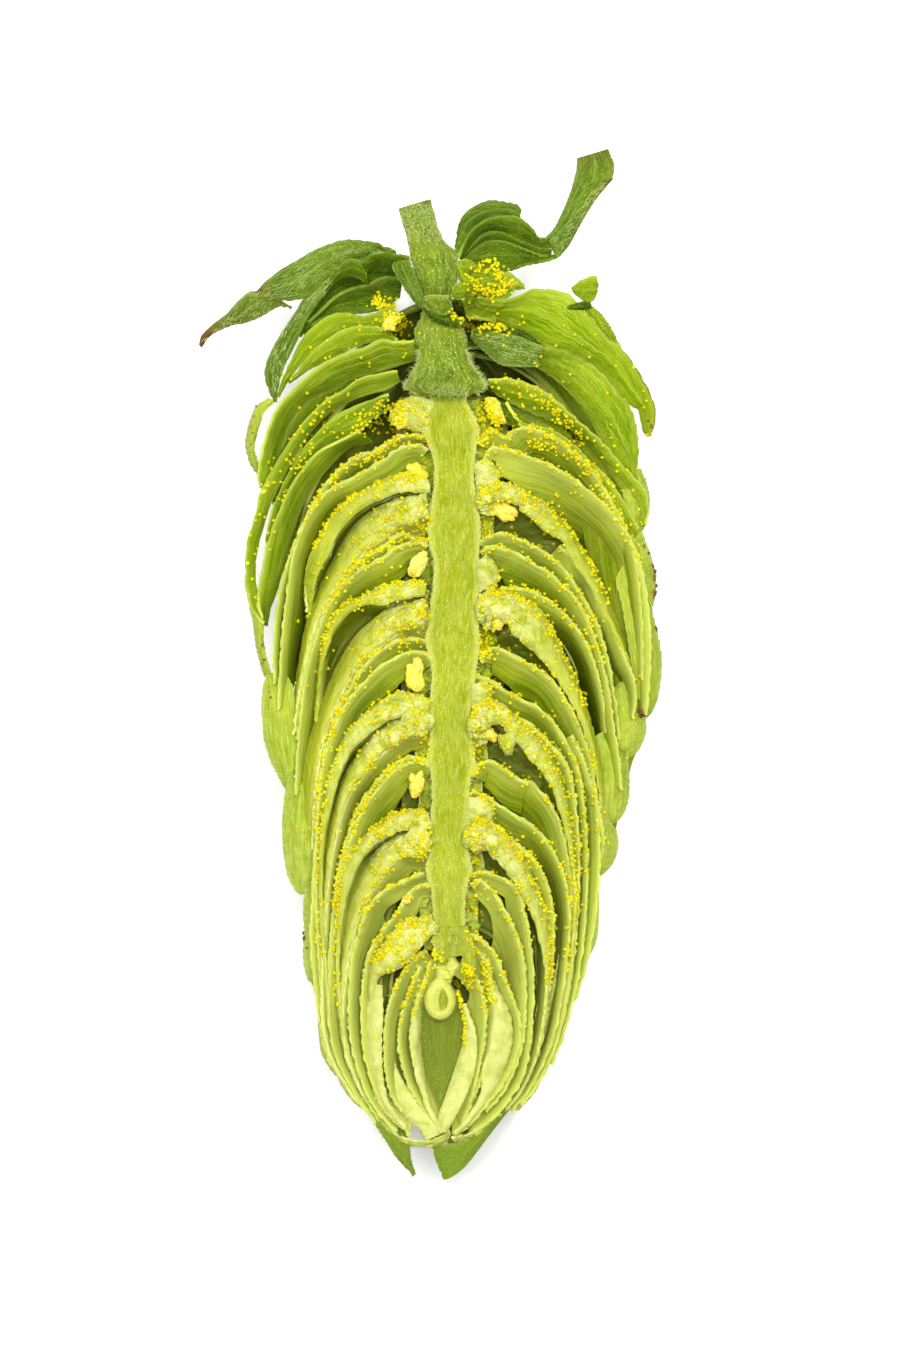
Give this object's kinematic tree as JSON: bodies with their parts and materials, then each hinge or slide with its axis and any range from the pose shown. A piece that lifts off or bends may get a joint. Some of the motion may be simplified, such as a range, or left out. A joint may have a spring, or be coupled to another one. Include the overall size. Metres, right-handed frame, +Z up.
{
  "type": "halved hop cone",
  "caption": "Hop cone cut lengthwise through its strig, with overlapping papery bracts, seeds and lupulin, its stalk and two small leaves at the top.",
  "frame": {"origin": "on the small flat resting spot of the rounded back, straight below the strig", "axes": "+Y along the cone towards the stalk, +X to the right of the cut face, +Z up out of the cut face"},
  "size_m": [0.0227, 0.0511, 0.0116],
  "materials": {
    "bract": "satin",
    "leaf": "satin"
  },
  "bodies": {
    "root": {"hop_cone": "bract", "leaf_left": "leaf", "leaf_right": "leaf"}
  },
  "joints": []
}
